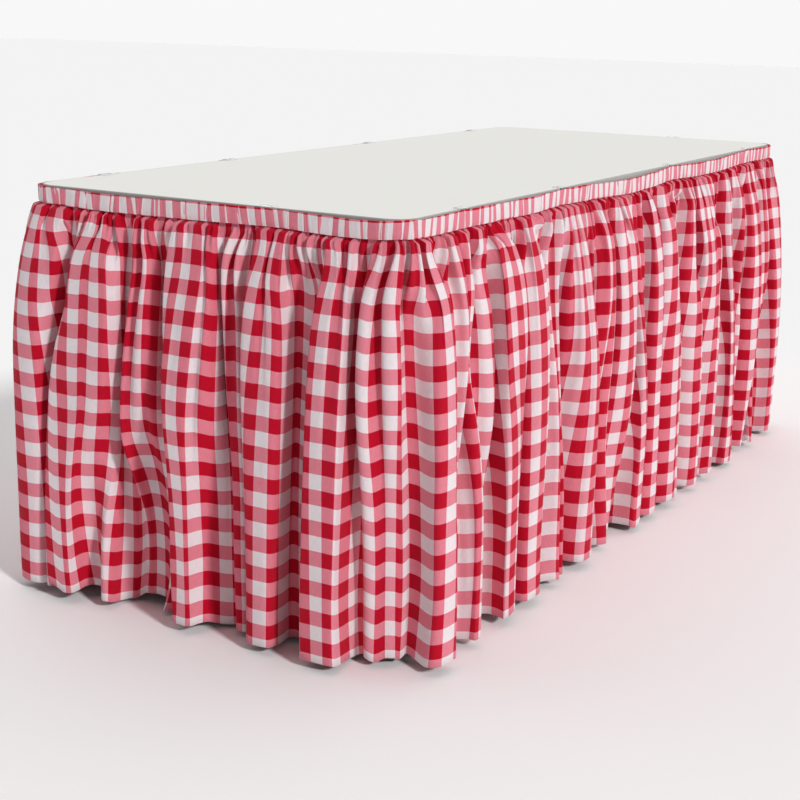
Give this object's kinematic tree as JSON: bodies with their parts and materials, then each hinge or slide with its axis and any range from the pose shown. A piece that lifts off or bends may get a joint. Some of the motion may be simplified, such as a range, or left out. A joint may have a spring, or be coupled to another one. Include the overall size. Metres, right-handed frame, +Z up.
{
  "type": "skirted folding table",
  "caption": "Folding banquet table dressed with a gathered gingham skirt that hangs from clips on the edge of its white top.",
  "frame": {"origin": "on the floor under the centre of the table top", "axes": "+X along the length of the table, -Y out of its front, +Z up"},
  "size_m": [1.979, 0.912, 0.7388],
  "materials": {
    "laminate": "satin",
    "plywood": "matte",
    "vinyl_edge": "satin",
    "timber": "matte",
    "frame_steel": "satin",
    "zinc_steel": "satin",
    "black_rubber": "matte",
    "gingham": "matte",
    "gingham_header": "matte",
    "white_tape": "matte",
    "clear_plastic": "gloss"
  },
  "bodies": {
    "table": {"plywood_core": "plywood", "top_laminate": "laminate", "backing_laminate": "laminate", "edge_moulding": "vinyl_edge", "runner_front": "timber", "runner_back": "timber", "leg_bracket_left_front": "zinc_steel", "leg_bracket_left_back": "zinc_steel", "brace_bracket_left": "zinc_steel", "leg_bracket_right_front": "zinc_steel", "leg_bracket_right_back": "zinc_steel", "brace_bracket_right": "zinc_steel", "skirt_front": "gingham", "skirt_back": "gingham", "skirt_left": "gingham", "skirt_right": "gingham", "skirt_corner_front_left": "gingham", "skirt_corner_back_left": "gingham", "skirt_corner_front_right": "gingham", "skirt_corner_back_right": "gingham", "header_band": "gingham_header", "loop_tape": "white_tape", "skirt_clip_front_1": "clear_plastic", "hook_pad_front_1": "white_tape", "skirt_clip_back_1": "clear_plastic", "hook_pad_back_1": "white_tape", "skirt_clip_front_2": "clear_plastic", "hook_pad_front_2": "white_tape", "skirt_clip_back_2": "clear_plastic", "hook_pad_back_2": "white_tape", "skirt_clip_front_3": "clear_plastic", "hook_pad_front_3": "white_tape", "skirt_clip_back_3": "clear_plastic", "hook_pad_back_3": "white_tape", "skirt_clip_front_4": "clear_plastic", "hook_pad_front_4": "white_tape", "skirt_clip_back_4": "clear_plastic", "hook_pad_back_4": "white_tape", "skirt_clip_left_1": "clear_plastic", "hook_pad_left_1": "white_tape", "skirt_clip_right_1": "clear_plastic", "hook_pad_right_1": "white_tape"},
    "leg_set_left": {"pivot_tube_left": "frame_steel", "cross_tube_left": "frame_steel", "leg_tube_left_front": "frame_steel", "foot_cap_left_front": "black_rubber", "leg_tube_left_back": "frame_steel", "foot_cap_left_back": "black_rubber"},
    "lower_brace_left": {"brace_lower_left": "zinc_steel"},
    "upper_brace_left": {"brace_upper_left": "zinc_steel"},
    "ring_left": {"lock_ring_left": "zinc_steel"},
    "leg_set_right": {"pivot_tube_right": "frame_steel", "cross_tube_right": "frame_steel", "leg_tube_right_front": "frame_steel", "foot_cap_right_front": "black_rubber", "leg_tube_right_back": "frame_steel", "foot_cap_right_back": "black_rubber"},
    "lower_brace_right": {"brace_lower_right": "zinc_steel"},
    "upper_brace_right": {"brace_upper_right": "zinc_steel"},
    "ring_right": {"lock_ring_right": "zinc_steel"}
  },
  "joints": [
    {"name": "leg_fold_left", "type": "hinge", "parent": "table", "child": "leg_set_left", "pos_m": [-0.7345, 0, 0.6952], "axis": [0, -1, 0], "range_deg": [0, 93.29]},
    {"name": "lower_brace_turn_left", "type": "hinge", "parent": "leg_set_left", "child": "lower_brace_left", "pos_m": [-0.75748, 0, 0.29586], "axis": [0, -1, 0], "range_deg": [0, 35.67]},
    {"name": "upper_brace_turn_left", "type": "hinge", "parent": "table", "child": "upper_brace_left", "pos_m": [-0.4345, 0, 0.6952], "axis": [0, -1, 0], "range_deg": [-51.03, 0]},
    {"name": "lock_ring_slide_left", "type": "slide", "parent": "lower_brace_left", "child": "ring_left", "axis": [-0.6288, 0, -0.7775], "range_m": [-0.2298, 0]},
    {"name": "leg_fold_right", "type": "hinge", "parent": "table", "child": "leg_set_right", "pos_m": [0.7345, 0, 0.6952], "axis": [0, 1, 0], "range_deg": [0, 93.29]},
    {"name": "lower_brace_turn_right", "type": "hinge", "parent": "leg_set_right", "child": "lower_brace_right", "pos_m": [0.75748, 0, 0.29586], "axis": [0, 1, 0], "range_deg": [0, 35.67]},
    {"name": "upper_brace_turn_right", "type": "hinge", "parent": "table", "child": "upper_brace_right", "pos_m": [0.4345, 0, 0.6952], "axis": [0, 1, 0], "range_deg": [-51.03, 0]},
    {"name": "lock_ring_slide_right", "type": "slide", "parent": "lower_brace_right", "child": "ring_right", "axis": [0.6288, 0, -0.7775], "range_m": [-0.2298, 0]}
  ],
  "couplings": [
    {"joint": "lower_brace_turn_left", "follows": "leg_fold_left", "ratio": 0.38237},
    {"joint": "upper_brace_turn_left", "follows": "leg_fold_left", "ratio": -0.54704},
    {"joint": "lower_brace_turn_right", "follows": "leg_fold_right", "ratio": 0.38237},
    {"joint": "upper_brace_turn_right", "follows": "leg_fold_right", "ratio": -0.54704}
  ]
}
